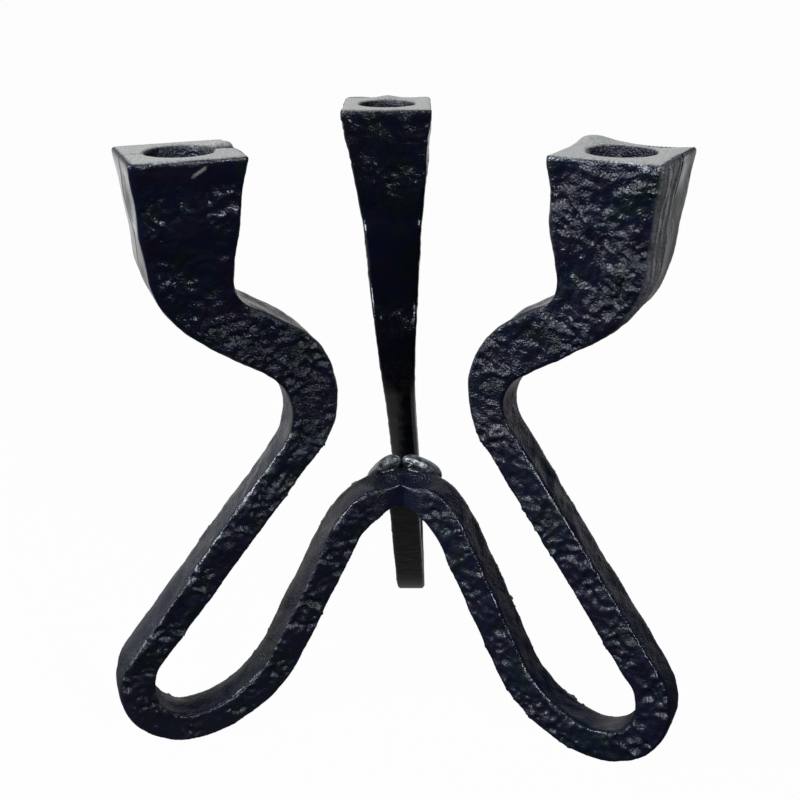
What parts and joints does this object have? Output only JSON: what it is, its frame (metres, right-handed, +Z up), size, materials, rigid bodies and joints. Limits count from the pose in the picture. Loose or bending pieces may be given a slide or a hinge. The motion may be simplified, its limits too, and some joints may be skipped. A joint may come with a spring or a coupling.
{
  "type": "candle holder",
  "caption": "Black cast-iron candle holder: bent square bars welded at a crown, each standing on a looped foot and flaring into a square head with a taper-candle socket.",
  "frame": {"origin": "on the standing surface, under the middle of the holder's outline", "axes": "+Z up along the candle sockets, -Y towards the front, +X to the viewer's right"},
  "size_m": [0.2106, 0.1808, 0.226],
  "materials": {
    "casting": "black lacquer over rough casting",
    "weld": "black lacquer over weld metal"
  },
  "bodies": {
    "root": {"left_arm": "casting", "right_arm": "casting", "rear_arm": "casting", "rear_left_weld": "weld", "rear_right_weld": "weld", "front_weld": "weld"}
  },
  "joints": []
}
